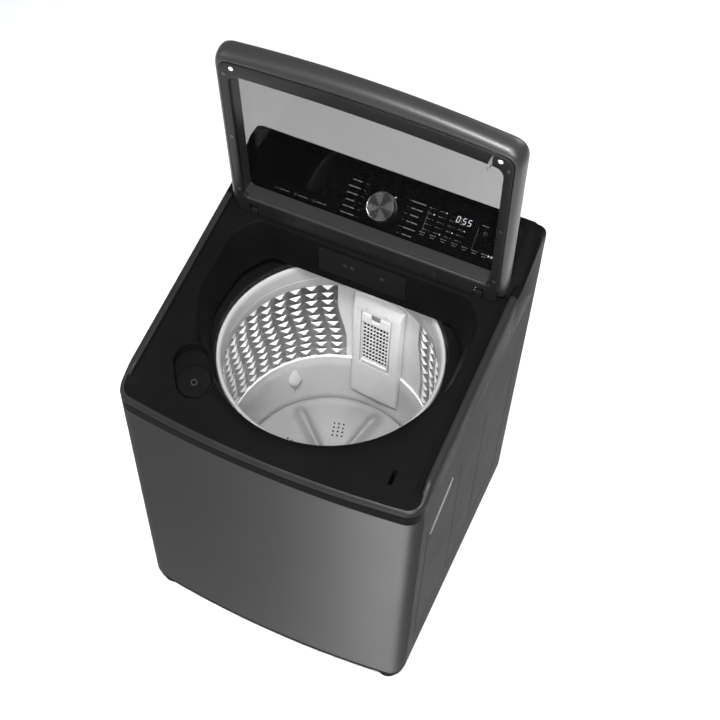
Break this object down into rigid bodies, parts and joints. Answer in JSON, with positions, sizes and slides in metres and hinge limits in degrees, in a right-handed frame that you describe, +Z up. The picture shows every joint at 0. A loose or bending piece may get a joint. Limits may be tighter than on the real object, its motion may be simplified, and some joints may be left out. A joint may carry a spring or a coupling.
{
  "type": "top load washing machine",
  "caption": "Top load washing machine with an open glass lid, sloping control console, steel wash drum with pulsator, and a brushed dark steel front.",
  "frame": {"origin": "on the floor, under the middle of the cabinet", "axes": "+X to the right seen from the front, +Y to the back, +Z up"},
  "size_m": [0.64, 0.67, 1.3553],
  "materials": {
    "front_steel": "dark brushed steel with a clear coat",
    "side_paint": "satin dark grey paint",
    "galvanised": "galvanised sheet",
    "black_plastic": "matte black",
    "rubber": "matte",
    "rubber_pale": "pale grey",
    "cover_plastic": "fine satin texture",
    "drawer_plastic": "fine satin texture",
    "fascia_glass": "gloss black with printed white legends",
    "board": "circuit board",
    "white_plastic": "moulded",
    "grey_hose": "ribbed",
    "steel_bright": "zinc plated",
    "steel_dark": "dark plated",
    "knob_metal": "radially spun",
    "lid_plastic": "satin",
    "lid_gloss": "semi gloss dark grey",
    "tinted_glass": "grey tinted, toughened",
    "tub_plastic": "filled polypropylene",
    "cast_alu": "die cast",
    "iron": "laminated and magnetised",
    "ring_plastic": "satin grey",
    "drum_steel": "embossed stainless",
    "basket_plastic": "satin light grey",
    "filter_plastic": "satin light grey"
  },
  "bodies": {
    "cabinet": {"front_panel": "front_steel", "side_panel_left": "side_paint", "side_panel_right": "side_paint", "side_grips": "black_plastic", "rear_panel": "galvanised", "cord_gland": "rubber", "base_frame": "black_plastic", "feet_rear": "rubber", "top_cover": "cover_plastic", "console_housing": "cover_plastic", "console_fascia": "fascia_glass", "encoder": "black_plastic", "control_board": "board", "dispenser_housing": "black_plastic", "inlet_valve_cold": "white_plastic", "inlet_valve_hot": "white_plastic", "pressure_sensor": "white_plastic", "lid_lock_housing": "black_plastic", "hinge_sockets": "black_plastic", "suspension_rods": "steel_bright", "suspension_brackets": "galvanised", "suspension_springs": "steel_bright", "drain_pump": "white_plastic", "drain_hose": "grey_hose", "sump_hose": "rubber", "cover_screws": "steel_bright"},
    "lid": {"lid_inner_frame": "lid_plastic", "lid_outer_frame": "lid_gloss", "lid_glass": "tinted_glass", "lid_hook": "steel_bright", "lid_bumpers": "rubber_pale", "lid_screws": "steel_dark", "hinge_pins": "steel_bright"},
    "knob": {"knob": "knob_metal"},
    "drawer": {"dispenser_drawer": "drawer_plastic"},
    "cap": {"bleach_cap": "cover_plastic"},
    "lock_bolt": {"lid_lock_bolt": "white_plastic"},
    "foot_left": {"foot_front_left": "rubber"},
    "foot_right": {"foot_front_right": "rubber"},
    "impeller": {"pump_impeller": "black_plastic"},
    "tub": {"outer_tub": "tub_plastic", "tub_ring": "black_plastic", "bearing_housing": "cast_alu", "bearings": "steel_bright", "shaft_seal": "rubber", "stator": "iron", "damper_cups": "white_plastic"},
    "clutch_slider": {"clutch_slider": "white_plastic"},
    "clutch_lever": {"clutch_lever": "white_plastic"},
    "basket": {"balance_ring": "ring_plastic", "basket_wall": "drum_steel", "basket_base": "basket_plastic", "channel_panel": "basket_plastic", "spin_shaft": "cast_alu"},
    "filter": {"lint_filter": "filter_plastic"},
    "latch": {"filter_latch": "filter_plastic"},
    "pulsator": {"pulsator": "basket_plastic", "pulsator_screw": "steel_bright", "wash_shaft": "steel_bright", "rotor": "iron"}
  },
  "joints": [
    {"name": "lid_hinge", "type": "hinge", "parent": "cabinet", "child": "lid", "pos_m": [0, 0.1454, 0.897], "axis": [1, 0, 0], "range_deg": [0, 96.65]},
    {"name": "knob_turn", "type": "hinge", "parent": "cabinet", "child": "knob", "pos_m": [0, 0.2227, 0.94323], "axis": [0, -0.669, 0.7433], "continuous": true},
    {"name": "drawer_slide", "type": "slide", "parent": "cabinet", "child": "drawer", "axis": [0, -1, 0], "range_m": [0, 0.11]},
    {"name": "bleach_cap_hinge", "type": "hinge", "parent": "cabinet", "child": "cap", "pos_m": [-0.17682, -0.24721, 0.80455], "axis": [-0.829, -0.5487, -0.1077], "range_deg": [-60, 0]},
    {"name": "lock_bolt_slide", "type": "slide", "parent": "cabinet", "child": "lock_bolt", "axis": [-1, 0, 0], "range_m": [0, 0.009]},
    {"name": "left_foot_height", "type": "slide", "parent": "cabinet", "child": "foot_left", "axis": [0, 0, -1], "range_m": [-0.006, 0.006]},
    {"name": "right_foot_height", "type": "slide", "parent": "cabinet", "child": "foot_right", "axis": [0, 0, -1], "range_m": [-0.006, 0.006]},
    {"name": "pump_spin", "type": "hinge", "parent": "cabinet", "child": "impeller", "pos_m": [0.19, 0.095, 0.085], "axis": [0, 0, 1], "continuous": true},
    {"name": "tub_bounce", "type": "slide", "parent": "cabinet", "child": "tub", "axis": [0, 0, 1], "range_m": [-0.025, 0.008], "stiffness_N_per_m": 18000, "springref_m": 0.0168, "deforming": ["suspension_springs", "sump_hose"]},
    {"name": "basket_spin", "type": "hinge", "parent": "tub", "child": "basket", "pos_m": [0, -0.012, 0.24], "axis": [0, 0, 1], "continuous": true},
    {"name": "pulsator_spin", "type": "hinge", "parent": "basket", "child": "pulsator", "pos_m": [0, -0.012, 0.26], "axis": [0, 0, 1], "continuous": true},
    {"name": "filter_tilt", "type": "hinge", "parent": "basket", "child": "filter", "pos_m": [0.0153, 0.19143, 0.444], "axis": [0.9972, -0.075, 0], "range_deg": [0, 60]},
    {"name": "filter_latch_slide", "type": "slide", "parent": "filter", "child": "latch", "axis": [0, 0, -1], "range_m": [0, 0.005], "stiffness_N_per_m": 600, "springref_m": -0.0005},
    {"name": "clutch_lever_tilt", "type": "hinge", "parent": "tub", "child": "clutch_lever", "pos_m": [0, -0.062, 0.094], "axis": [-1, 0, 0], "range_deg": [0, 12]},
    {"name": "clutch_slide", "type": "slide", "parent": "tub", "child": "clutch_slider", "axis": [0, 0, -1], "range_m": [0, 0.0051]}
  ],
  "couplings": [
    {"joint": "clutch_slide", "follows": "clutch_lever_tilt", "m_per_rad": 0.02387}
  ]
}
